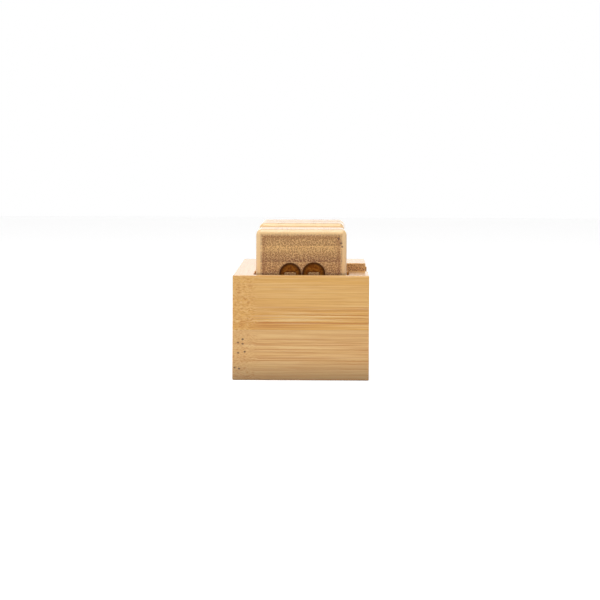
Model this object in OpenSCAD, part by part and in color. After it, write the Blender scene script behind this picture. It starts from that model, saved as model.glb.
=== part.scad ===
// Bamboo puzzle box: a long open-topped case with three loose number cubes standing in two bays and a
// hidden well between the bays, closed by a sliding lid. Two steel gravity pins lock the lid; a cube
// carries a magnet behind one face, and lifts a pin when it is stood on the lid.
//
// Frame: millimetres, +Z up, origin on the table under the middle of the case. -Y is the front end,
// +X is the side the lid slides out of.

/* [Cubes] */
// Edge length of a number cube
cube_size = 40; // [36:1:48]
// Gap around a cube in its bay
cube_play = 1; // [0.6:0.1:1.4]
// Radius that every edge of a cube is rounded to
cube_round = 2.5; // [1:0.25:3]
// Radius of the smaller ring of the burnt figure eight
ring_r_small = 4.8; // [4:0.1:5]
// Radius of the larger ring
ring_r_large = 5.1; // [4:0.1:5.1]
// Depth of the burnt figure eight
mark_depth = 0.3; // [0.2:0.05:0.6]

/* [Case] */
// Height of the walls
case_h = 46; // [44:1:60]
// Thickness of the end boards and side boards
wall_t = 9; // [8:0.5:12]
// Thickness of the floor board
floor_t = 6; // [4:0.5:8]
// Thickness of each partition beside the well
partition_t = 12; // [11:0.5:15]
// Length of the well between the partitions
well_l = 43; // [28:1:60]
// Diameter of the hidden corner dowels
dowel_d = 4; // [3:0.5:5]

/* [Sliding lid] */
// Thickness of the lid
lid_t = 9; // [9:0.5:10]
// How far the lid stands above the walls
lid_proud = 3.6; // [1:0.2:3.6]
// How far the lid's end stays back from the outside of the right wall
lid_inset = 1.25; // [0.5:0.25:3]
// Diameter of a lock pin's shank
pin_d = 3; // [2.5:0.1:3.2]

/* [Magnets] */
// Diameter of a cube's magnet
magnet_d = 10; // [6:1:15]
// Thickness of a cube's magnet
magnet_t = 3; // [2:0.5:4]

/* [Hidden] */
$fn = 96;
overcut = 1;                // how far a cutting shape runs past the face it cuts

// case
bay_w = cube_size + 2 * cube_play;
front_bay_l = cube_size + 2 * cube_play;
rear_bay_l = 2 * cube_size + 3 * cube_play;
case_w = bay_w + 2 * wall_t;
inner_l = front_bay_l + rear_bay_l + 2 * partition_t + well_l;
case_l = inner_l + 2 * wall_t;
inner_front_y = -inner_l / 2;
front_partition_y = inner_front_y + front_bay_l;
well_y = front_partition_y + partition_t;
rear_partition_y = well_y + well_l;
rear_bay_y = rear_partition_y + partition_t;
seat_z = case_h - cube_size / 2;  // the cubes stand half above the walls

// lid and the tongue-and-groove that keeps it down
shoulder_t = 4.5;           // upper part of a partition, beyond the lid's end
slide_gap = 0.2;            // running gap around the lid
lid_z = case_h + lid_proud - lid_t;
lid_front_y = front_partition_y + shoulder_t;
lid_rear_y = rear_bay_y - shoulder_t;
lid_left_x = -bay_w / 2 + slide_gap;
lid_right_x = case_w / 2 - lid_inset;
tongue_w = 1.8;
tongue_t = 2.5;
tongue_z = lid_z + 1.5;
dimple_r = 14;              // thumb dimple: radius of the ball cutter, and how deep it goes
dimple_depth = 1.5;
dimple_x = 12;

// lock pins, seen at rest in their lifted place
pin_gap = 0.1;              // radial gap of shank and head
pin_head_d = 4.8;
pin_head_t = 1;
pin_plug_t = 1.5;
pin_web_t = 3;              // wood left under the pin's head
pin_tip_z = lid_z + 0.1;
pin_head_z = lid_z + lid_t - pin_plug_t - 0.1 - pin_head_t;
pin_x = 12;                 // the front pin is left of the middle, the rear pin right of it
ledge_w = partition_t - shoulder_t;
front_pin_y = well_y - ledge_w / 2;
rear_pin_y = rear_partition_y + ledge_w / 2;
bush_d = 5;
bush_l = 6;
bush_bore_d = 3.6;

// hidden dowels, two at each corner
dowel_in_end = 6;
dowel_in_side = 16;
dowel_zs = [12, 33];
hole_spare = 0.3;           // glue space past each dowel's end

// cubes, from front to rear: [middle y, sideways shift, turn in the bay, turn to bring the mark round]
cube_ys = [inner_front_y + front_bay_l / 2,
           rear_bay_y + cube_play + cube_size / 2,
           rear_bay_y + 2 * cube_play + 1.5 * cube_size];
cube_shifts = [-0.1, -0.6, -0.5];
cube_turns = [0.5, -0.4, 0.5];
mark_turns = [0, 180, 180];
ring_pitch = 10.4;          // between the two rings' middles
mark_shift = 0.3;           // how far the pair is burnt off the middle of the face, sideways and up
mark_rise = 0.4;
eye_w = 5.1;                // the bare eye inside a ring, with round ends
eye_h = 1.4;
plug_t = 2;

// a box from one corner
module block(x, y, z, w, l, h) {
    translate([x, y, z]) cube([w, l, h]);
}

// a square centred on the origin with rounded corners
module rounded_square(size, r) {
    square([size, size - 2 * r], center = true);
    square([size - 2 * r, size], center = true);
    for (sx = [-1, 1], sy = [-1, 1])
        translate([sx * (size / 2 - r), sy * (size / 2 - r)]) circle(r = r);
}

// a cube centred on the origin with all twelve edges rounded; a ball takes the points off its corners
module rounded_cube(size, r) {
    intersection() {
        linear_extrude(size, center = true) rounded_square(size, r);
        rotate([90, 0, 0]) linear_extrude(size, center = true) rounded_square(size, r);
        rotate([0, 90, 0]) linear_extrude(size, center = true) rounded_square(size, r);
        sphere(r = sqrt(3) * (size / 2 - r) + r);
    }
}

// ---- case ----

// the eight dowel axes: [x, y of the joint between end board and side board, direction into the side board]
dowel_axes = [for (sx = [-1, 1], sy = [-1, 1], z = dowel_zs)
    [sx * (case_w - wall_t) / 2, sy * inner_l / 2, z, -sy]];

module along_dowels(d, in_end, in_side) {
    for (a = dowel_axes)
        translate([a[0], a[1] - a[3] * in_end, a[2]])
            rotate([-90 * a[3], 0, 0])
                cylinder(h = in_end + in_side, d = d);
}

module end_board(y) {
    difference() {
        block(-case_w / 2, y, 0, case_w, wall_t, case_h);
        along_dowels(dowel_d, dowel_in_end + hole_spare, dowel_in_side);
    }
}

// the opening that the lid slides through: its own section, with a running gap
module lid_passage(x, w) {
    g = slide_gap;
    l = lid_rear_y - lid_front_y;
    block(x, lid_front_y - g, lid_z - g, w, l + 2 * g, lid_t + overcut);
    block(x, lid_front_y - tongue_w - g, tongue_z - g, w, l + 2 * tongue_w + 2 * g, tongue_t + 2 * g);
}

module side_board(x) {
    difference() {
        block(x, -inner_l / 2, 0, wall_t, inner_l, case_h);
        along_dowels(dowel_d, dowel_in_end, dowel_in_side + hole_spare);
        if (x > 0) lid_passage(x - overcut, wall_t + 2 * overcut);
    }
}

module floor_board() {
    color("burlywood") block(-bay_w / 2, -inner_l / 2, 0, bay_w, inner_l, floor_t);
}

// a partition carries the lid on a ledge, with the tongue's groove in the shoulder above it
module partition(y, pin_at) {
    difference() {
        block(-bay_w / 2, y, floor_t, bay_w, partition_t, case_h - floor_t);
        translate([0, 0, slide_gap]) lid_passage(-bay_w / 2 - overcut, bay_w + 2 * overcut);
        translate([pin_at[0], pin_at[1], lid_z - bush_l]) cylinder(h = bush_l + overcut, d = bush_d);
    }
}

module seat_block(y, l) {
    block(-bay_w / 2, y, floor_t, bay_w, l, seat_z - floor_t);
}

module strike_bush(pin_at) {
    translate([pin_at[0], pin_at[1], lid_z - bush_l])
        difference() {
            cylinder(h = bush_l, d = bush_d);
            translate([0, 0, -overcut]) cylinder(h = bush_l + 2 * overcut, d = bush_bore_d);
        }
}

front_pin_at = [-pin_x, front_pin_y];
rear_pin_at = [pin_x, rear_pin_y];

// ---- lid and pins ----

module pin_bore(pin_at) {
    translate([pin_at[0], pin_at[1], lid_z - overcut]) cylinder(h = lid_t, d = pin_d + 2 * pin_gap);
    translate([pin_at[0], pin_at[1], lid_z + pin_web_t]) cylinder(h = lid_t, d = pin_head_d + 2 * pin_gap);
}

module sliding_lid() {
    w = lid_right_x - lid_left_x;
    l = lid_rear_y - lid_front_y;
    color("wheat") difference() {
        union() {
            block(lid_left_x, lid_front_y, lid_z, w, l, lid_t);
            block(lid_left_x, lid_front_y - tongue_w, tongue_z, w, l + 2 * tongue_w, tongue_t);
        }
        pin_bore(front_pin_at);
        pin_bore(rear_pin_at);
        translate([dimple_x, (lid_front_y + lid_rear_y) / 2, lid_z + lid_t + dimple_r - dimple_depth])
            sphere(r = dimple_r);
    }
}

module lid_pin_plugs() {
    color("tan") for (p = [front_pin_at, rear_pin_at])
        translate([p[0], p[1], lid_z + lid_t - pin_plug_t])
            cylinder(h = pin_plug_t, d = pin_head_d + 2 * pin_gap);
}

module lock_pin(pin_at) {
    color("silver") translate([pin_at[0], pin_at[1], 0]) {
        translate([0, 0, pin_tip_z]) cylinder(h = pin_head_z - pin_tip_z, d = pin_d);
        translate([0, 0, pin_head_z]) cylinder(h = pin_head_t, d = pin_head_d);
    }
}

// ---- cubes ----

// brings a part drawn in a cube's own frame, mark facing -Y, to cube number i
module at_cube(i) {
    translate([cube_shifts[i], cube_ys[i], seat_z + cube_size / 2])
        rotate([0, 0, cube_turns[i] + mark_turns[i]])
            children();
}

// a bar with round ends, along Y
module eye(depth) {
    cube([eye_w - eye_h, depth, eye_h], center = true);
    for (sx = [-1, 1])
        translate([sx * (eye_w - eye_h) / 2, 0, 0])
            rotate([90, 0, 0]) cylinder(h = depth, d = eye_h, center = true);
}

// the figure eight on its side: two burnt rings, each around a bare eye
module figure_eight() {
    for (ring = [[-ring_pitch / 2, ring_r_small], [ring_pitch / 2, ring_r_large]])
        translate([ring[0] + mark_shift, -cube_size / 2, mark_rise])
            difference() {
                rotate([90, 0, 0]) cylinder(h = 2 * mark_depth, r = ring[1], center = true);
                eye(3 * mark_depth);
            }
}

module number_cube(i) {
    color("burlywood") at_cube(i) difference() {
        rounded_cube(cube_size, cube_round);
        figure_eight();
        translate([0, cube_size / 2 - plug_t - magnet_t, 0])
            rotate([-90, 0, 0]) cylinder(h = plug_t + magnet_t + overcut, d = magnet_d);
    }
}

module cube_magnet(i) {
    color("gray") at_cube(i) translate([0, cube_size / 2 - plug_t - magnet_t, 0])
        rotate([-90, 0, 0]) cylinder(h = magnet_t, d = magnet_d);
}

module cube_plug(i) {
    color("tan") at_cube(i) translate([0, cube_size / 2 - plug_t, 0])
        rotate([-90, 0, 0]) cylinder(h = plug_t, d = magnet_d);
}

color("goldenrod") end_board(-case_l / 2);  // front_end_board
color("goldenrod") end_board(inner_l / 2);  // rear_end_board
color("wheat") side_board(-case_w / 2);  // left_side_board
color("wheat") side_board(bay_w / 2);  // right_side_board
floor_board();
color("tan") partition(front_partition_y, front_pin_at);  // front_partition
color("tan") partition(rear_partition_y, rear_pin_at);  // rear_partition
color("burlywood") seat_block(inner_front_y, front_bay_l);  // front_seat_block
color("burlywood") seat_block(rear_bay_y, rear_bay_l);  // rear_seat_block
color("peru") along_dowels(dowel_d, dowel_in_end, dowel_in_side);  // corner_dowels
color("gold") { strike_bush(front_pin_at); strike_bush(rear_pin_at); }  // strike_bushes
sliding_lid();
lid_pin_plugs();
lock_pin(front_pin_at);  // front_lock_pin
lock_pin(rear_pin_at);  // rear_lock_pin
number_cube(0);  // front_cube
cube_magnet(0);  // front_cube_magnet
cube_plug(0);  // front_cube_plug
number_cube(1);  // second_cube
cube_magnet(1);  // second_cube_magnet
cube_plug(1);  // second_cube_plug
number_cube(2);  // rear_cube
cube_magnet(2);  // rear_cube_magnet
cube_plug(2);  // rear_cube_plug
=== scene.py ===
"""Looks for a bamboo puzzle box: a long case with three loose cubes and a sliding lid over a secret well.

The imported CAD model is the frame. The four case boards, the two partitions, the lid and the cubes are copies
of its nodes, and every other piece is the node itself with a material. Sizes are in millimetres unless a
comment says otherwise.
"""

import math

import bmesh
import bpy
from mathutils import Matrix, Vector


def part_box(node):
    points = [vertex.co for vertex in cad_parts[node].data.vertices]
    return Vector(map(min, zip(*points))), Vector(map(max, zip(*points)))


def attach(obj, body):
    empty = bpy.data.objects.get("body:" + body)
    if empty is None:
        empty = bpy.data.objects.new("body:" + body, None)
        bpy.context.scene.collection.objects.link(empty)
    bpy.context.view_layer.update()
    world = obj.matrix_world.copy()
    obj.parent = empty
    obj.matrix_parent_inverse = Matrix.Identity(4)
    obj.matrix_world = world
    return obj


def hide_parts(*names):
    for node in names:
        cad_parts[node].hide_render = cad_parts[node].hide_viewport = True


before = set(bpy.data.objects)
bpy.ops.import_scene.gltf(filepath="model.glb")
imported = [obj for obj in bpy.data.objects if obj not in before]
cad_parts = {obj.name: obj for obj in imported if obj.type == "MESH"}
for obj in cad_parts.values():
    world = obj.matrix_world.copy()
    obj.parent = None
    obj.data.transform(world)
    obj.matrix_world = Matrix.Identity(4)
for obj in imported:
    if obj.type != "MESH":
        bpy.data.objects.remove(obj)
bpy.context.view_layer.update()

MM = 0.001
X, Y, Z = 0, 1, 2


def srgb(red, green, blue):
    """A colour given as 8-bit sRGB, in the linear values that shaders use."""
    def linear(value):
        value /= 255
        return value / 12.92 if value <= 0.04045 else ((value + 0.055) / 1.055) ** 2.4
    return (linear(red), linear(green), linear(blue), 1.0)


# ---- sizes ----

CASE_LOW, CASE_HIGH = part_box("front_end_board")
INNER_LOW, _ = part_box("floor_board")
LID_LOW, LID_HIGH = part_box("sliding_lid")
CUBE_LOW, CUBE_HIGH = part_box("front_cube")
HALF_W = -CASE_LOW.x / MM
HALF_L = -CASE_LOW.y / MM
TOP = CASE_HIGH.z / MM
WALL = (INNER_LOW.y - CASE_LOW.y) / MM
CUBE_HALF = (CUBE_HIGH.z - CUBE_LOW.z) / 2 / MM

EASE = 0.45             # radius of the case's outer edges
RIM_EASE = 0.35         # of its inner rims, and of the lid's upper edges and outer end
HAIRLINE = 0.12         # at the glued corner joints
SHORTEST_EASED = 1.2    # edges no longer than this stay sharp
SHARP_FROM = 60         # degrees between two faces, from which the edge between them may be eased
FLAT_WITHIN = 0.4       # degrees within which the CAD's triangles are joined into one face
MERGE_WITHIN = 0.001
SQUARE_ON = 0.9999      # a face whose normal has a part this long is flat; the others are curved
SAME_WITHIN = 0.05      # how near two coordinates are when an edge lies on a plane

# The two burnt rings, each (sideways, up, radius) from the middle of a cube's face, and the bare eye in each
RING_PITCH = 10.4
RING_SHIFT = 0.3
RING_RISE = 0.4
RINGS = ((RING_SHIFT - RING_PITCH / 2, RING_RISE, 4.8), (RING_SHIFT + RING_PITCH / 2, RING_RISE, 5.1))
EYE_W = 5.1
EYE_H = 1.4
MARK_HALF_W = 12        # the marks lie within this of the middle of the face
MARK_HALF_H = 8
MARK_DEPTHS = (0.01, 1)     # a face this far behind the marked face is part of the sunk rings
CUBE_TURNS = {"front": 0.5, "second": 179.6, "rear": 180.5}    # degrees from facing the camera with the mark


# ---- camera, light and floor ----

CAMERA_PLACE = (12.6, -1639, 107)
CAMERA_YAW = 0.484
CAMERA_PITCH = 2.675
CAMERA_ROLL = 0.254
CAMERA_LENS = 210
SENSOR = 36
VIEW_DEPTH = 20         # metres

FLOOR_SIZE = 6          # metres
FLOOR_GAP = 0.1         # how far the floor is under the case
FLOOR_WHITE = (0.8, 0.8, 0.8, 1)
FLOOR_LIFT = 0.65       # what the floor shines by itself, to the eye only
SKY_STRENGTH = 0.27
BAND_STRENGTH = 1.5
BAND_TOP = 0.45         # sine of the height where the bright band ends
TOP_BOX = {"place": (-150, -100, 1100), "target": (0, 0, 40), "size": 900, "power": 10}
FRONT_BOX = {"place": (-500, -1300, 500), "target": (0, -60, 30), "size": 700, "power": 1.5}


def make_camera():
    data = bpy.data.cameras.new("camera")
    data.lens = CAMERA_LENS
    data.sensor_width = SENSOR
    data.clip_end = VIEW_DEPTH
    camera = bpy.data.objects.new("camera", data)
    bpy.context.scene.collection.objects.link(camera)
    turn = (Matrix.Rotation(math.radians(CAMERA_YAW), 4, "Z")
            @ Matrix.Rotation(math.radians(90 - CAMERA_PITCH), 4, "X")
            @ Matrix.Rotation(math.radians(CAMERA_ROLL), 4, "Z"))
    camera.matrix_world = Matrix.Translation(Vector(CAMERA_PLACE) * MM) @ turn
    bpy.context.scene.camera = camera


def area_light(name, place, target, size, power):
    """A square soft box at place that faces target. The power is in watts."""
    data = bpy.data.lights.new(name, "AREA")
    data.size = size * MM
    data.energy = power
    light = bpy.data.objects.new(name, data)
    bpy.context.scene.collection.objects.link(light)
    aim = (Vector(target) - Vector(place)).to_track_quat("-Z", "Y")
    light.matrix_world = Matrix.Translation(Vector(place) * MM) @ aim.to_matrix().to_4x4()


def make_world():
    """A white backdrop to look at; for light, a bright band near the horizon under a dimmer sky."""
    world = bpy.data.worlds.new("studio")
    world.use_nodes = True
    tree = world.node_tree
    background = tree.nodes["Background"]
    background.inputs["Color"].default_value = (1, 1, 1, 1)
    direction = tree.nodes.new("ShaderNodeTexCoord")
    axes = tree.nodes.new("ShaderNodeSeparateXYZ")
    band = tree.nodes.new("ShaderNodeMapRange")
    band.inputs["From Min"].default_value = BAND_TOP
    band.inputs["From Max"].default_value = 0.0
    band.inputs["To Min"].default_value = SKY_STRENGTH
    band.inputs["To Max"].default_value = BAND_STRENGTH
    path = tree.nodes.new("ShaderNodeLightPath")
    choose = tree.nodes.new("ShaderNodeMix")
    tree.links.new(direction.outputs["Generated"], axes.inputs[0])
    tree.links.new(axes.outputs[Z], band.inputs["Value"])
    tree.links.new(path.outputs["Is Camera Ray"], choose.inputs["Factor"])
    tree.links.new(band.outputs["Result"], choose.inputs["A"])
    choose.inputs["B"].default_value = 1.0
    tree.links.new(choose.outputs["Result"], background.inputs["Strength"])
    bpy.context.scene.world = world


def make_floor():
    bpy.ops.mesh.primitive_plane_add(size=FLOOR_SIZE)
    floor = bpy.context.object
    floor.name = "floor"
    floor.location.z = -FLOOR_GAP * MM
    material = bpy.data.materials.new("floor_white")
    material.use_nodes = True
    tree = material.node_tree
    shader = tree.nodes["Principled BSDF"]
    shader.inputs["Base Color"].default_value = FLOOR_WHITE
    shader.inputs["Roughness"].default_value = 0.9
    shader.inputs["Emission Color"].default_value = (1, 1, 1, 1)
    path = tree.nodes.new("ShaderNodeLightPath")
    lift = tree.nodes.new("ShaderNodeMath")
    lift.operation = "MULTIPLY"
    lift.inputs[1].default_value = FLOOR_LIFT
    tree.links.new(path.outputs["Is Camera Ray"], lift.inputs[0])
    tree.links.new(lift.outputs[0], shader.inputs["Emission Strength"])
    floor.data.materials.append(material)


def make_stage():
    bpy.context.scene.view_settings.view_transform = "Standard"
    make_world()
    make_floor()
    area_light("top_box", **TOP_BOX)
    area_light("front_box", **FRONT_BOX)


# ---- shader nodes ----

class Graph:
    """A material. Its methods add shader nodes and link them, and take sockets or plain values."""

    def __init__(self, name):
        self.material = bpy.data.materials.new(name)
        self.material.use_nodes = True
        self.tree = self.material.node_tree
        self.shader = self.tree.nodes["Principled BSDF"]

    def plug(self, socket, value):
        if isinstance(value, bpy.types.NodeSocket):
            self.tree.links.new(value, socket)
        else:
            socket.default_value = value

    def add(self, kind, inputs, output=0, **settings):
        node = self.tree.nodes.new(kind)
        for name, value in settings.items():
            setattr(node, name, value)
        for name, value in inputs.items():
            self.plug(node.inputs[name], value)
        return node.outputs[output]

    def math(self, operation, *values):
        return self.add("ShaderNodeMath", dict(enumerate(values)), operation=operation)

    def plus(self, first, second):
        return self.math("ADD", first, second)

    def minus(self, first, second):
        return self.math("SUBTRACT", first, second)

    def times(self, first, second):
        return self.math("MULTIPLY", first, second)

    def least(self, first, second):
        return self.math("MINIMUM", first, second)

    def most(self, first, second):
        return self.math("MAXIMUM", first, second)

    def size(self, value):
        return self.math("ABSOLUTE", value)

    def apart(self, first, second):
        """How far apart two values are."""
        return self.size(self.minus(first, second))

    def diagonal(self, first, second):
        """The length of the diagonal whose two sides are given."""
        return self.math("SQRT", self.plus(self.times(first, first), self.times(second, second)))

    def vector(self, x, y, z):
        return self.add("ShaderNodeCombineXYZ", {0: x, 1: y, 2: z})

    def split(self, vector):
        node = self.tree.nodes.new("ShaderNodeSeparateXYZ")
        self.plug(node.inputs[0], vector)
        return list(node.outputs)

    def fade(self, value, none, full):
        """A smooth step, 0 where value is none and 1 where it is full."""
        return self.add("ShaderNodeMapRange", {0: value, 1: none, 2: full}, interpolation_type="SMOOTHSTEP")

    def mix(self, share, first, second, blend="MIX"):
        node = self.tree.nodes.new("ShaderNodeMix")
        node.data_type = "RGBA"
        node.blend_type = blend
        self.plug(node.inputs[0], share)
        self.plug(node.inputs[6], first)
        self.plug(node.inputs[7], second)
        return node.outputs[2]

    def ramp(self, value, stops, interpolation="LINEAR"):
        """A grey that follows stops, a list of (value from 0 to 1, grey)."""
        node = self.tree.nodes.new("ShaderNodeValToRGB")
        node.color_ramp.interpolation = interpolation
        elements = node.color_ramp.elements
        for number, (position, grey) in enumerate(stops):
            element = elements[number] if number < 2 else elements.new(position)
            element.position = position
            element.color = (grey, grey, grey, 1)
        if len(stops) == 1:
            elements.remove(elements[1])
        self.plug(node.inputs[0], value)
        return node.outputs[0]

    def noise(self, vector, scale=1.0, detail=2.0):
        return self.add("ShaderNodeTexNoise", {"Vector": vector, "Scale": scale, "Detail": detail})

    def local_place(self, place, turn):
        """Object coordinates in millimetres from place, in a frame turned by so many degrees about Z."""
        coords = self.add("ShaderNodeTexCoord", {}, output=3)
        return self.add("ShaderNodeMapping", {"Vector": coords, "Location": [v * MM for v in place],
                                              "Rotation": (0, 0, math.radians(turn)), "Scale": (MM, MM, MM)},
                        vector_type="TEXTURE")

    def from_ring(self, ring, sideways, up):
        """The distance of a point on a cube's face from a ring's middle."""
        ring_x, ring_z, _ = ring
        return self.diagonal(self.minus(sideways, ring_x), self.minus(up, ring_z))

    def from_eye(self, ring, sideways, up):
        """The distance of a point on a cube's face from the line between the round ends of a ring's eye."""
        ring_x, ring_z, _ = ring
        past_end = self.most(self.minus(self.apart(sideways, ring_x), EYE_W / 2 - EYE_H / 2), 0.0)
        return self.diagonal(past_end, self.minus(up, ring_z))

    def bump(self, height, strength, distance):
        relief = self.add("ShaderNodeBump",
                          {"Strength": strength, "Distance": distance * MM, "Height": height})
        self.plug(self.shader.inputs["Normal"], relief)


# ---- bamboo ----

GOLDEN = srgb(233, 176, 84)
PINKISH = srgb(230, 182, 112)
STREAK = srgb(190, 108, 26)
PALE = srgb(248, 212, 150)
END_PALE = srgb(234, 184, 108)
END_DEEP = srgb(150, 94, 32)
DOT_SHADE = srgb(166, 132, 86)
DOT_LIGHT = srgb(250, 210, 140)
# paler sanded wood and a painted highlight on a cube's rounded edges
EDGE_PALE_AND_HIGHLIGHT = srgb(255, 224, 176)
SCORCH = srgb(140, 74, 12)
PORE = srgb(84, 46, 20)
GLUE = srgb(120, 76, 40)
CHAR = srgb(110, 58, 8)
CHAR_LIGHT = srgb(150, 94, 30)
# the black at the burnt rings' edges, and also the colour of the painted shade in the gap behind a bay's rim
CHAR_RIM_AND_GAP_SHADE = srgb(54, 26, 2)
# the colour of the painted shade at the foot of the case
FOOT_SHADE_TONE = (0.10, 0.05, 0.02, 1)

# Fibre noises: (waves per mm along the grain, waves per mm across it, detail)
FIBRES = {
    "hair": (0.09, 4.2, 1.0),
    "fine": (0.024, 1.9, 1.0),
    "streak": (0.013, 1.45, 1.5),
    "band": (0.004, 0.16, 2.0),
}

# Layers of side grain from the lowest up: the fibre noise, its values where the layer is absent and full,
# the layer's share in calm wood, what a flame adds to the share, and its colour
SIDE_LAYERS = (
    ("band", 0.62, 0.36, 0.18, 0.00, PALE),
    ("fine", 0.50, 0.32, 0.20, 0.60, PALE),
    ("streak", 0.46, 0.64, 0.06, 0.62, STREAK),
    ("fine", 0.51, 0.68, 0.16, 0.40, STREAK),
    ("hair", 0.45, 0.75, 0.26, 0.00, STREAK),
)

# Flecks at a knuckle: the noise's values where they are absent and full, their share, and their colour
FLECK_LAYERS = (
    (0.48, 0.68, 0.50, STREAK),
    (0.45, 0.28, 0.40, PALE),
)
FLECK_WAVES = (0.75, 2.1)   # per mm along and across the grain
KNUCKLE_FADE = (4, -3)      # distances past a knuckle's reach where it is absent and full
KNUCKLE_WANDER = 11.0       # how far a knuckle's line strays along the board
WANDER_WAVES = 0.30         # per mm across the board
KNUCKLE_RIPPLE = 3.0        # how far the fibres stray across the grain at a knuckle
CALM_RIPPLE = 0.35          # and elsewhere
RIPPLE_WAVES = (0.30, 0.35)     # per mm along and across the grain
FLAME_CORE = 0.3            # the part of a flame's reach where it is full
CALM_FLAME = 0.10           # the strength of the flames between the listed ones
KNUCKLE_CALMS = 0.8         # the part of a flame that a knuckle takes away

# How far one step of a board's seed moves it through the noises
SEED_ALONG = 3.7
SEED_THROUGH = 7.3
SEED_DOTS = 11.3

DOTS_PER_MM = 1.55
DOT_SCATTER = 0.5
DOT_STRETCH = 0.02          # the fibres' dots change this slowly along the board
DOT_DARK = (0.46, 0.16)     # distances from a dot's middle, in cells, where its shade is absent and full
DOT_BRIGHT = (0.44, 0.68)   # and the pale wood between the dots
DOT_BRIGHT_SHARE = 0.50
PLY_SEAM = 0.05             # half the width of the step in tone between two plies
END_FROM = 0.93             # part of the normal along the fibres where end grain starts to show
END_FULL = 0.998
BOARD_PLY = 4.5             # a case board and the lid have two plies, so this is also half of each
BOARD_PLIES = ((0.5, 0.7), (0.4, 0.8))      # each ply's tone at its upper and lower side, from the top down

STRIP_DEPTH = 40.0          # pink strips are cut this far off in the noise, so that strips don't match
STRIP_SEAM = (0.13, 0.04)   # distances from a seam between strips where its line is absent and full
SEAM_SHARE = 0.20
FOOT_SHADE_AT = (12.0, -2.0)      # heights where the painted shade at the foot of the case is absent and full
FOOT_SHADE_SHARE = 0.53       # share of the painted shade at the foot of the case, standing in for the floor's shade
PORE_SQUASH = 1.3           # a pore is this much narrower in its second direction
PORE_RAGGEDNESS = 0.9
PORE_FADE = (0.68, 0.26)    # distances from a pore's middle where it is absent and full
PORE_SHARE = 0.9

GAP_SHADE = 0.35             # how dark the shade is that is painted round a cube at the height where it stands behind the rim of its bay
GAP_SHADE_HEIGHT = 0.2            # above the middle of the cube
GAP_SHADE_FADE = (0.8, 0.2)
SCORCH_AT = 16.5            # sanding scorches a cube's end grain this far from the middle of the face
SCORCH_FADE = (1.1, 0.1)
SCORCH_SHARE = 0.40
ROUNDED_FROM = 3.2          # distances from a cube's faces where the paler sanded wood and painted highlight of its rounded edge start and are full
ROUNDED_FULL = 1.2
ROUNDED_PALE_AND_HIGHLIGHT_SHARE = 0.55
FRONT_FROM = 1.5            # distances behind a cube's marked face where its soot ends and is full
FRONT_FULL = 0.5
SOOT_OUTER = (0.7, -0.1)    # distances past a ring's radius where its soot ends and is full, outwards
SOOT_INNER = (-0.9, -0.2)   # and inwards
SOOT_SHARE = 0.6
CHAR_OUTER = (-1.7, -0.3)   # distances past a ring's radius where the black at its edge starts and is full
CHAR_INNER = 0.6            # how far that black reaches round the eye
CHAR_SHARE = 0.8
CHAR_END = (0.3, 0.1)       # distances past a ring's radius where its black is absent and full again
CHAR_MOTTLE = (0.38, 0.64)  # values of the noise where the scorched wood is darkest and lightest


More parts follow.
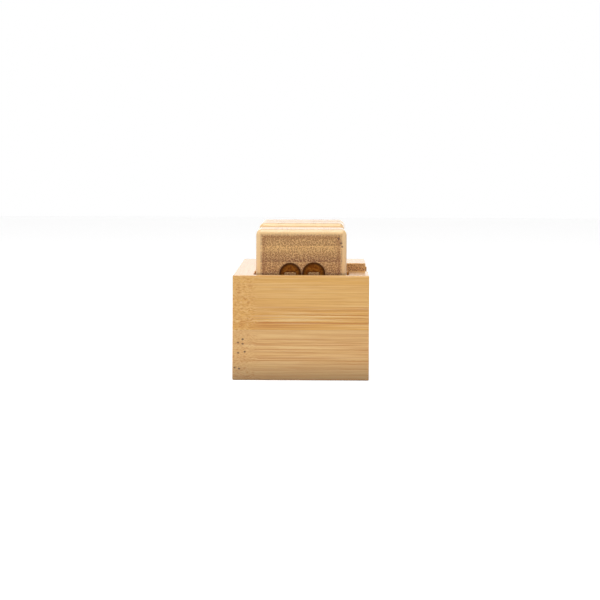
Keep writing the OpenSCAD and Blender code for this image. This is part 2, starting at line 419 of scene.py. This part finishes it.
class Bamboo(Graph):
    """Bamboo whose fibres run along one axis. Strips lie side by side across it, plies are glued through it.

    axes gives the three axes in that order. Places are in millimetres from place.
    """

    def __init__(self, name, axes, place, turn, seed):
        super().__init__(name)
        xyz = self.split(self.local_place(place, turn))
        self.length, self.width, self.depth = (xyz[axis] for axis in axes)
        self.along = axes[0]
        self.seed = seed

    def strip_tone(self, strips, height):
        """How pink the wood is. strips is a list of (where the strip ends, its pinkness)."""
        starts = [0.0] + [strip_end / height for strip_end, _ in strips[:-1]]
        tones = [pinkness for _, pinkness in strips]
        return self.ramp(self.math("DIVIDE", self.width, height), list(zip(starts, tones)), "CONSTANT")

    def knuckle_share(self, knuckles):
        """How strong a knuckle is. knuckles is a list of (where along the board, its reach)."""
        none, full = KNUCKLE_FADE
        wander = self.noise(self.vector(0.0, self.times(self.width, WANDER_WAVES), self.seed))
        wander = self.times(self.minus(wander, 0.5), KNUCKLE_WANDER)
        share = 0.0
        for middle, reach in knuckles:
            away = self.size(self.plus(self.minus(self.length, middle), wander))
            share = self.most(share, self.fade(away, reach + none, reach + full))
        return share

    def grow_fibres(self, pink, knuckle):
        """Lays the fibre noises, which wave and break into flecks near a knuckle."""
        stretch, fineness = RIPPLE_WAVES
        ripple = self.noise(self.vector(self.times(self.length, stretch), self.times(self.width, fineness),
                                        self.seed))
        sway = self.plus(CALM_RIPPLE, self.times(knuckle, KNUCKLE_RIPPLE))
        self.wide = self.plus(self.width, self.times(self.minus(ripple, 0.5), sway))
        deep = self.plus(self.depth, self.plus(self.times(pink, STRIP_DEPTH), self.seed * SEED_THROUGH))
        self.fibre = {}
        for kind, (stretch, fineness, detail) in FIBRES.items():
            place = self.vector(self.plus(self.times(self.length, stretch), self.seed * SEED_ALONG),
                                self.times(self.wide, fineness), self.times(deep, fineness))
            self.fibre[kind] = self.noise(place, detail=detail)
        stretch, fineness = FLECK_WAVES
        place = self.vector(self.times(self.length, stretch), self.times(self.wide, fineness),
                            self.times(deep, fineness))
        self.flecks = self.noise(place)

    def flame_share(self, flames, knuckle):
        """How strong the flames are. flames is a list of (where across, its reach, its strength)."""
        share = CALM_FLAME
        for middle, reach, strength in flames:
            away = self.apart(self.width, middle)
            share = self.most(share, self.times(self.fade(away, reach, reach * FLAME_CORE), strength))
        return self.times(share, self.minus(1.0, self.times(knuckle, KNUCKLE_CALMS)))

    def side_grain(self, pink, flame, knuckle):
        colour = self.mix(pink, GOLDEN, PINKISH)
        for kind, none, full, share, flame_adds, tint in SIDE_LAYERS:
            share = self.plus(share, self.times(flame, flame_adds))
            colour = self.mix(self.times(self.fade(self.fibre[kind], none, full), share), colour, tint)
        for none, full, share, tint in FLECK_LAYERS:
            share = self.times(self.fade(self.flecks, none, full), share)
            colour = self.mix(self.times(knuckle, share), colour, tint)
        return colour

    def end_grain(self, plies, ply, half):
        """Dots on plies whose tone changes through each. half is half the board's thickness."""
        stops = []
        for number, (upper, lower) in enumerate(plies):
            stops += [(number * ply + PLY_SEAM, upper), ((number + 1) * ply - PLY_SEAM, lower)]
        stops = [(down / (2 * half), tone) for down, tone in stops if down <= 2 * half]
        tone = self.ramp(self.math("DIVIDE", self.minus(half, self.depth), 2 * half), stops)
        place = self.vector(self.times(self.length, DOT_STRETCH), self.wide,
                            self.plus(self.depth, self.seed * SEED_DOTS))
        dots = self.add("ShaderNodeTexVoronoi",
                        {"Vector": place, "Scale": DOTS_PER_MM, "Randomness": DOT_SCATTER})
        colour = self.mix(tone, END_PALE, END_DEEP)
        colour = self.mix(self.fade(dots, *DOT_DARK), colour, DOT_SHADE, blend="MULTIPLY")
        return self.mix(self.times(self.fade(dots, *DOT_BRIGHT), DOT_BRIGHT_SHARE), colour, DOT_LIGHT)

    def scorch(self, colour):
        """The line that sanding burns round a cube's end grain."""
        reach = self.most(self.size(self.width), self.size(self.depth))
        near = self.fade(self.apart(reach, SCORCH_AT), *SCORCH_FADE)
        return self.mix(self.times(near, SCORCH_SHARE), colour, SCORCH)

    def by_facing(self, side, end):
        """End grain on the faces that look along the fibres, side grain on the others."""
        normal = self.split(self.add("ShaderNodeTexCoord", {}, output=1))
        return self.mix(self.fade(self.size(normal[self.along]), END_FROM, END_FULL), side, end)

    def sanded_and_highlit_edges(self, colour):
        """Wood sanded paler, with a painted highlight, where a cube's edges are rounded: there two coordinates
        are near their ends.
        """
        a, b, c = (self.size(value) for value in (self.length, self.width, self.depth))
        second_largest = self.most(self.most(self.least(a, b), self.least(b, c)), self.least(a, c))
        rounded = self.fade(second_largest, CUBE_HALF - ROUNDED_FROM, CUBE_HALF - ROUNDED_FULL)
        return self.mix(self.times(rounded, ROUNDED_PALE_AND_HIGHLIGHT_SHARE), colour, EDGE_PALE_AND_HIGHLIGHT)

    def pores(self, colour, first, second, places):
        """Ragged dark holes at places, given by two coordinates."""
        for first_at, second_at in places:
            squashed = self.times(self.minus(second, second_at), PORE_SQUASH)
            away = self.diagonal(self.minus(first, first_at), squashed)
            ragged = self.plus(away, self.times(self.minus(self.flecks, 0.5), PORE_RAGGEDNESS))
            colour = self.mix(self.times(self.fade(ragged, *PORE_FADE), PORE_SHARE), colour, PORE)
        return colour

    def strip_seams(self, colour, strips):
        for strip_end, _ in strips[:-1]:
            line = self.fade(self.apart(self.width, strip_end), *STRIP_SEAM)
            colour = self.mix(self.times(line, SEAM_SHARE), colour, GLUE)
        return colour

    # Painted shade: the wood turns darker towards the foot of the case, as in the floor's shade
    def paint_foot_shade(self, colour):
        return self.mix(self.times(self.fade(self.width, *FOOT_SHADE_AT), FOOT_SHADE_SHARE), colour, FOOT_SHADE_TONE)

    def soot(self, colour):
        """Soot round the edges of the burnt rings on a cube's marked face."""
        front = self.fade(self.length, FRONT_FROM - CUBE_HALF, FRONT_FULL - CUBE_HALF)
        for ring in RINGS:
            past_edge = self.minus(self.from_ring(ring, self.width, self.depth), ring[2])
            halo = self.times(self.fade(past_edge, *SOOT_OUTER), self.fade(past_edge, *SOOT_INNER))
            colour = self.mix(self.times(self.times(halo, front), SOOT_SHARE), colour, CHAR)
        return colour

    # Painted shade: a dark line round the cube at the height of its bay's rim, where the gap is shaded
    def paint_gap_shade(self, colour):
        line = self.fade(self.apart(self.depth, GAP_SHADE_HEIGHT), *GAP_SHADE_FADE)
        return self.mix(self.times(line, GAP_SHADE), colour, CHAR_RIM_AND_GAP_SHADE)

    def oiled(self, colour):
        """A thin satin oil over fibres that can just be felt."""
        hair, fine = self.fibre["hair"], self.fibre["fine"]
        self.plug(self.shader.inputs["Base Color"], colour)
        self.plug(self.shader.inputs["Roughness"], self.plus(0.40, self.times(hair, 0.20)))
        self.shader.inputs["Specular IOR Level"].default_value = 0.4
        self.shader.inputs["Coat Weight"].default_value = 0.8
        self.shader.inputs["Coat Roughness"].default_value = 0.18
        self.bump(self.plus(self.times(hair, 0.6), self.times(fine, 0.4)), strength=0.3, distance=0.06)


def bamboo(name, axes, place, seed, strips, turn=0.0, height=1.0, flames=(), knuckles=(), pores=(),
           end_pores=(), plies=BOARD_PLIES, ply=BOARD_PLY, half=BOARD_PLY, shade_foot=False, cube=False):
    """One bamboo material: see Bamboo and its methods for what each list holds."""
    wood = Bamboo(name, axes, place, turn, seed)
    pink = wood.strip_tone(strips, height)
    knuckle = wood.knuckle_share(knuckles)
    wood.grow_fibres(pink, knuckle)
    side = wood.side_grain(pink, wood.flame_share(flames, knuckle), knuckle)
    end = wood.end_grain(plies, ply, half)
    if cube:
        end = wood.scorch(end)
    colour = wood.by_facing(side, end)
    if cube:
        # sanded paler edges with a painted highlight
        colour = wood.sanded_and_highlit_edges(colour)
    colour = wood.pores(colour, wood.length, wood.width, pores)
    colour = wood.pores(colour, wood.width, wood.depth, end_pores)
    colour = wood.strip_seams(colour, strips)
    # painted shade at the foot of the case
    if shade_foot:
        colour = wood.paint_foot_shade(colour)
    if cube:
        # soot round the burnt rings, then the painted shade in the gap at the bay's rim
        colour = wood.paint_gap_shade(wood.soot(colour))
    wood.oiled(colour)
    return wood.material


def char(name, place, turn):
    """The scorched wood in the sunk rings: browner in the middle, nearly black at both edges."""
    g = Graph(name)
    local = g.local_place(place, turn)
    xyz = g.split(local)
    grain = g.noise(local, 1.3, 3.0)
    colour = g.mix(g.fade(grain, *CHAR_MOTTLE), CHAR, CHAR_LIGHT)
    for ring in RINGS:
        past_edge = g.minus(g.from_ring(ring, xyz[X], xyz[Z]), ring[2])
        outer = g.fade(g.plus(past_edge, g.minus(grain, 0.5)), *CHAR_OUTER)
        inner = g.fade(g.from_eye(ring, xyz[X], xyz[Z]), EYE_H / 2 + CHAR_INNER, EYE_H / 2)
        inside = g.fade(past_edge, *CHAR_END)
        colour = g.mix(g.times(g.times(g.most(outer, inner), inside), CHAR_SHARE), colour, CHAR_RIM_AND_GAP_SHADE)
    g.plug(g.shader.inputs["Base Color"], colour)
    g.shader.inputs["Roughness"].default_value = 0.8
    g.shader.inputs["Specular IOR Level"].default_value = 0.1
    g.bump(grain, strength=0.5, distance=0.1)
    return g.material


# ---- metal ----

STEEL = (0.62, 0.62, 0.63, 1)
NICKEL = (0.66, 0.64, 0.60, 1)
BRASS = (0.80, 0.58, 0.26, 1)
METAL_SHADE = (0.2, 0.19, 0.18, 1)
TURNING_MARKS = (300, 300, 9000)    # waves per metre: fine along Z, so they run round the upright pins


def metal(name, colour, rough):
    g = Graph(name)
    coords = g.add("ShaderNodeTexCoord", {}, output=3)
    marks = g.noise(g.add("ShaderNodeMapping", {"Vector": coords, "Scale": TURNING_MARKS}))
    g.plug(g.shader.inputs["Base Color"], g.mix(g.times(marks, 0.3), colour, METAL_SHADE))
    g.plug(g.shader.inputs["Roughness"], g.plus(rough, g.times(marks, 0.15)))
    g.shader.inputs["Metallic"].default_value = 1.0
    g.bump(marks, strength=0.2, distance=0.02)
    return g.material


# ---- copies of the wooden parts ----

def eased_copy(node, body, easing):
    """A copy of a CAD node that replaces it, with its straight edges rounded.

    easing takes an edge's two ends in millimetres and gives its radius, or 0 to leave it sharp.
    """
    bm = bmesh.new()
    bm.from_mesh(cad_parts[node].data)
    bmesh.ops.remove_doubles(bm, verts=bm.verts, dist=MERGE_WITHIN * MM)
    bmesh.ops.dissolve_limit(bm, angle_limit=math.radians(FLAT_WITHIN), verts=bm.verts, edges=bm.edges,
                             delimit={"NORMAL"})
    weights = bm.edges.layers.float.new("bevel_weight_edge")
    for edge in bm.edges:
        if len(edge.link_faces) != 2 or edge.calc_face_angle_signed(0) < math.radians(SHARP_FROM):
            continue
        a, b = (vertex.co / MM for vertex in edge.verts)
        if (b - a).length > SHORTEST_EASED:
            edge[weights] = easing(a, b) / EASE
    mesh = bpy.data.meshes.new(node + "_wood")
    bm.to_mesh(mesh)
    bm.free()
    for polygon in mesh.polygons:
        polygon.use_smooth = max(abs(part) for part in polygon.normal) < SQUARE_ON
    piece = bpy.data.objects.new(node + "_wood", mesh)
    bpy.context.scene.collection.objects.link(piece)
    bevel = piece.modifiers.new("ease", "BEVEL")
    bevel.limit_method = "WEIGHT"
    bevel.width = EASE * MM
    bevel.segments = 3
    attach(piece, body)
    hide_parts(node)


def same(value, target):
    return abs(value - target) < SAME_WITHIN


def case_easing(a, b):
    """Rounded outer edges, lightly broken inner rims and hairlines at the glued joints."""
    def both(axis, target):
        return same(a[axis], target) and same(b[axis], target)
    ends = both(Y, HALF_L) or both(Y, -HALF_L)
    sides = both(X, HALF_W) or both(X, -HALF_W)
    flat = both(Z, TOP) or both(Z, 0)
    if ends + sides + flat >= 2:
        return EASE
    if both(Y, HALF_L - WALL) or both(Y, WALL - HALF_L):
        return HAIRLINE
    if both(Z, TOP):
        return RIM_EASE
    return 0


def lid_easing(a, b):
    """The lid's upper edges and the edges of its outer end."""
    upper = same(a.z, LID_HIGH.z / MM) and same(b.z, LID_HIGH.z / MM)
    end = same(a.x, LID_HIGH.x / MM) and same(b.x, LID_HIGH.x / MM)
    return RIM_EASE if upper or end else 0


def cube_copy(which, wood, burnt, turn):
    """A copy of a cube with a material of its own in the sunk rings."""
    node = which + "_cube"
    low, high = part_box(node)
    into = Matrix.Rotation(math.radians(-turn), 4, "Z") @ Matrix.Translation(-(low + high) / 2)
    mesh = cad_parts[node].data.copy()
    mesh.name = node + "_wood"
    mesh.materials.clear()
    mesh.materials.append(wood)
    mesh.materials.append(burnt)
    for polygon in mesh.polygons:
        x, y, z = into @ polygon.center / MM
        sunk = MARK_DEPTHS[0] < y + CUBE_HALF < MARK_DEPTHS[1]
        polygon.material_index = int(sunk and abs(x) < MARK_HALF_W and abs(z) < MARK_HALF_H)
    piece = bpy.data.objects.new(node + "_wood", mesh)
    bpy.context.scene.collection.objects.link(piece)
    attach(piece, which + "_block")
    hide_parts(node)


def dress(name, material):
    """Gives a piece, or its CAD node, one material."""
    piece = bpy.data.objects.get(name + "_wood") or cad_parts[name]
    piece.data.materials.clear()
    piece.data.materials.append(material)


# ---- the case ----

# What each board's bamboo is like: strips and flames by height, knuckles by place along the board, and pores
# by both. Each board's zero is halfway along it, at the foot.
END_AXES = (X, Z, Y)
SIDE_AXES = (Y, Z, X)
FLAT_AXES = (Y, X, Z)
CASE_BOARDS = {
    "front_end_board": dict(
        name="bamboo_front", axes=END_AXES, place=(0, -HALF_L + WALL / 2, 0), seed=1.0,
        strips=[(22, 1.0), (TOP, 0.1)], flames=[(27.6, 6.5, 1.0), (12, 11, 0.6)], knuckles=[(-27, 6)],
        pores=[(-25.5, 18), (-27.5, 16.5), (-25.5, 16), (-27.5, 12), (-24.5, 12.5), (-29, 5.5), (-27, 5)]),
    "rear_end_board": dict(
        name="bamboo_rear", axes=END_AXES, place=(0, HALF_L - WALL / 2, 0), seed=2.0,
        strips=[(19, 0.2), (TOP, 0.6)], flames=[(36, 7, 0.6), (8, 5, 0.4)], knuckles=[(19, 4)],
        pores=[(18, 29), (20.5, 31), (17, 9)]),
    "left_side_board": dict(
        name="bamboo_left", axes=SIDE_AXES, place=(-HALF_W + WALL / 2, 0, 0), seed=3.0,
        strips=[(24, 0.3), (TOP, 0.05)], flames=[(15, 8, 0.7), (40, 4, 0.4)], knuckles=[(46, 5), (-81, 4)],
        pores=[(45, 31), (47.5, 28.5), (44, 12), (48, 9.5), (-80, 35)]),
    "right_side_board": dict(
        name="bamboo_right", axes=SIDE_AXES, place=(HALF_W - WALL / 2, 0, 0), seed=4.0,
        strips=[(21, 0.6), (TOP, 0.25)], flames=[(30, 7, 0.6), (6, 5, 0.5)], knuckles=[(-62, 5), (78, 4)],
        pores=[(-61, 27), (-64, 25), (-60.5, 11), (79, 17)]),
}
INNER_BOARDS = {
    "front_partition": END_AXES,
    "rear_partition": END_AXES,
    "floor_board": FLAT_AXES,
    "front_seat_block": FLAT_AXES,
    "rear_seat_block": FLAT_AXES,
    "corner_dowels": FLAT_AXES,
}
FIRST_INNER_SEED = 5


def make_case():
    for node in (*CASE_BOARDS, "front_partition", "rear_partition"):
        eased_copy(node, "case", case_easing)
    for node, board in CASE_BOARDS.items():
        dress(node, bamboo(height=TOP, shade_foot=True, **board))
    for seed, (node, axes) in enumerate(INNER_BOARDS.items(), start=FIRST_INNER_SEED):
        low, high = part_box(node)
        thickness = (high - low)[axes[2]] / MM
        dress(node, bamboo("bamboo_" + node, axes, place=(low + high) / 2 / MM, seed=float(seed),
                           strips=[(1, 0.4)], flames=[(0, 5, 0.5)], half=thickness / 2))


# ---- the lid ----

LID_PLIES = ((0.45, 0.55), (0.30, 0.80))


def make_lid():
    eased_copy("sliding_lid", "lid", lid_easing)
    middle = (LID_LOW + LID_HIGH) / 2 / MM
    dress("sliding_lid", bamboo("bamboo_lid", FLAT_AXES, place=middle, seed=12.0, strips=[(1, 0.5)],
                                flames=[(-9, 8, 0.5)], plies=LID_PLIES))
    dress("lid_pin_plugs", bamboo("bamboo_plugs", FLAT_AXES, place=middle, seed=13.0, strips=[(1, 0.9)]))


# ---- the cubes ----

CUBE_PLY = 7.15
CUBE_PLIES = [(0.56, 0.56), (0.14, 1.0), (0.60, 0.85), (0.20, 0.75), (0.50, 0.55), (0.25, 0.60)]
CUBE_PORES = {
    "front": [(16.5, 16), (17.5, 14), (18, 12.5)],
    "second": [(-13, 8)],
    "rear": [(9, -11), (10.5, -12)],
}
FIRST_CUBE_SEED = 14.0


def make_cubes():
    for number, (which, turn) in enumerate(CUBE_TURNS.items()):
        low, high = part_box(which + "_cube")
        middle = (low + high) / 2 / MM
        plies = CUBE_PLIES[number:] + CUBE_PLIES[:number]
        wood = bamboo("bamboo_cube_" + which, FLAT_AXES, place=middle, turn=turn,
                      seed=FIRST_CUBE_SEED + number, strips=[(1, 0.35)], flames=[(-8, 6, 0.5), (11, 5, 0.4)],
                      end_pores=CUBE_PORES[which], plies=plies, ply=CUBE_PLY, half=CUBE_HALF, cube=True)
        cube_copy(which, wood, char("char_" + which, middle, turn), turn)
        dress(which + "_cube_plug", wood)


# ---- pins, magnets and bushes ----

def make_metals():
    steel = metal("pin_steel", STEEL, 0.2)
    nickel = metal("magnet_nickel", NICKEL, 0.15)
    for name in ("front_lock_pin", "rear_lock_pin"):
        dress(name, steel)
    for name in ("front_cube_magnet", "second_cube_magnet", "rear_cube_magnet"):
        dress(name, nickel)
    dress("strike_bushes", metal("bush_brass", BRASS, 0.25))


make_camera()
make_stage()
make_case()
make_lid()
make_cubes()
make_metals()
